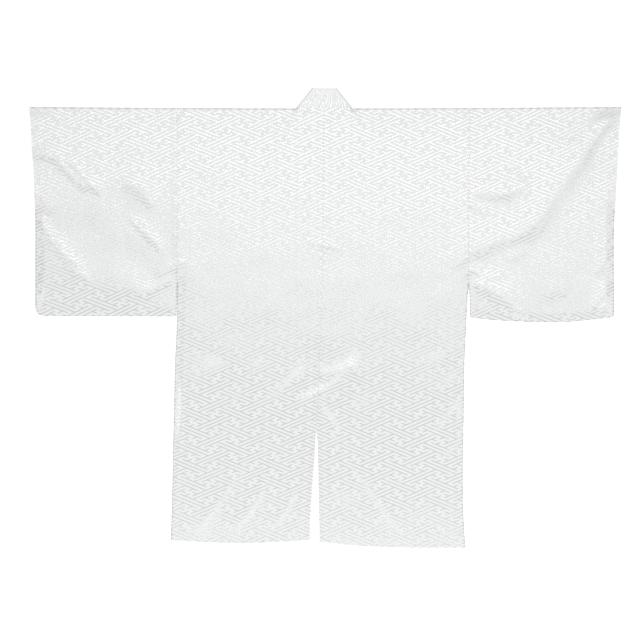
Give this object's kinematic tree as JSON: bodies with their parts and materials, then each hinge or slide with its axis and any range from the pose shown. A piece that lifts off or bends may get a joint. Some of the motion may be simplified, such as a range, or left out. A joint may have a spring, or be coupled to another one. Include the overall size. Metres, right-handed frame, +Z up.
{
  "type": "kimono jacket (haori)",
  "caption": "Satin kimono jacket with square sleeves, a stand of doubled collar and a slit centre back, spread flat with its back up.",
  "frame": {"origin": "on the surface that the garment lies on, under the middle of its width and length", "axes": "+Z up from the surface, through the back; +Y from the hem towards the neck; +X towards the sleeve at the right of the back as seen from above"},
  "size_m": [1.3606, 1.0566, 0.0059],
  "materials": {
    "white_satin": "white satin damask with a woven key pattern, soft sheen",
    "collar_satin": "the same white satin damask, doubled"
  },
  "bodies": {
    "root": {"body_left": "white_satin", "body_right": "white_satin", "sleeve_left": "white_satin", "sleeve_right": "white_satin", "collar": "collar_satin"}
  },
  "joints": []
}
